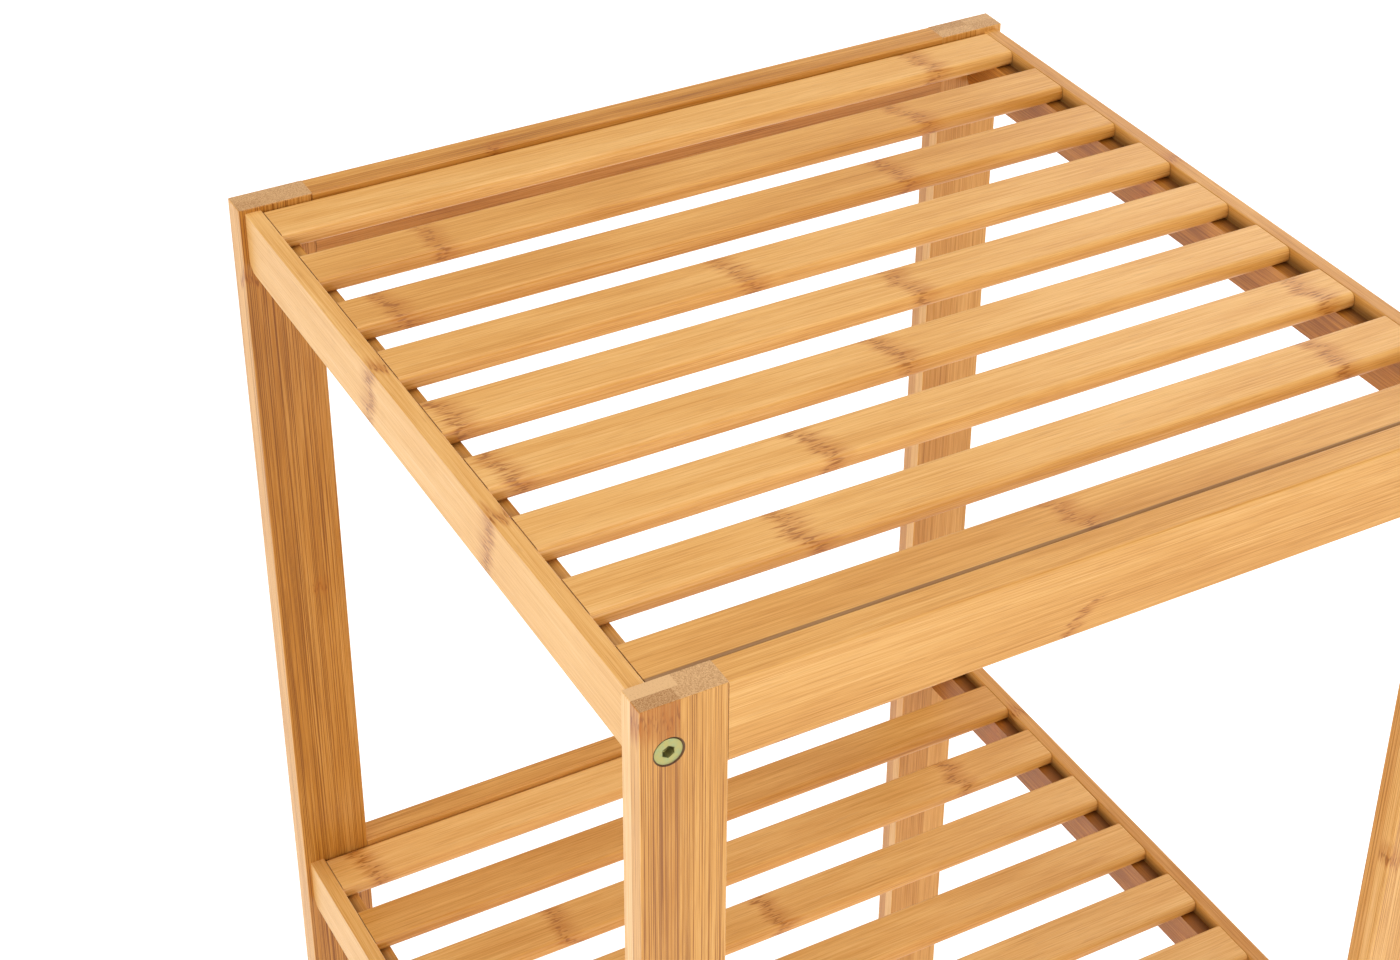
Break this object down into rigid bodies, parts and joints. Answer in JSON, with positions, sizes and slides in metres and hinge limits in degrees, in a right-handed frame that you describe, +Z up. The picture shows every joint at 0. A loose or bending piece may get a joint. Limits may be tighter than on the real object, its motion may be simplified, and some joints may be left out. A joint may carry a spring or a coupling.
{
  "type": "slatted bench",
  "caption": "Small, nearly square bamboo bench or stool with a slatted seat and a matching slatted shelf below it, on flat board posts.",
  "frame": {"origin": "on the floor, at the middle of the footprint", "axes": "+Z up, front towards -Y, slats along X with the left side at -X"},
  "size_m": [0.348, 0.344, 0.57],
  "materials": {
    "bamboo_post": "satin lacquer",
    "bamboo_apron": "satin lacquer",
    "bamboo_side_rail": "satin lacquer",
    "bamboo_slat": "satin lacquer",
    "beech_dowel": "raw",
    "yellow_zinc": "yellow passivated zinc",
    "nylon_glide": "matte"
  },
  "bodies": {
    "root": {"back_left_glide": "nylon_glide", "back_left_post": "bamboo_post", "back_right_glide": "nylon_glide", "back_right_post": "bamboo_post", "front_left_glide": "nylon_glide", "front_left_post": "bamboo_post", "front_right_glide": "nylon_glide", "front_right_post": "bamboo_post", "lower_apron_dowels": "beech_dowel", "lower_back_apron": "bamboo_apron", "lower_front_apron": "bamboo_apron", "lower_left_rail": "bamboo_side_rail", "lower_rail_screws": "yellow_zinc", "lower_right_rail": "bamboo_side_rail", "lower_slat_1": "bamboo_slat", "lower_slat_2": "bamboo_slat", "lower_slat_3": "bamboo_slat", "lower_slat_4": "bamboo_slat", "lower_slat_5": "bamboo_slat", "lower_slat_6": "bamboo_slat", "lower_slat_7": "bamboo_slat", "lower_slat_8": "bamboo_slat", "lower_slat_9": "bamboo_slat", "upper_apron_dowels": "beech_dowel", "upper_back_apron": "bamboo_apron", "upper_front_apron": "bamboo_apron", "upper_left_rail": "bamboo_side_rail", "upper_rail_screws": "yellow_zinc", "upper_right_rail": "bamboo_side_rail", "upper_slat_1": "bamboo_slat", "upper_slat_2": "bamboo_slat", "upper_slat_3": "bamboo_slat", "upper_slat_4": "bamboo_slat", "upper_slat_5": "bamboo_slat", "upper_slat_6": "bamboo_slat", "upper_slat_7": "bamboo_slat", "upper_slat_8": "bamboo_slat", "upper_slat_9": "bamboo_slat"}
  },
  "joints": []
}
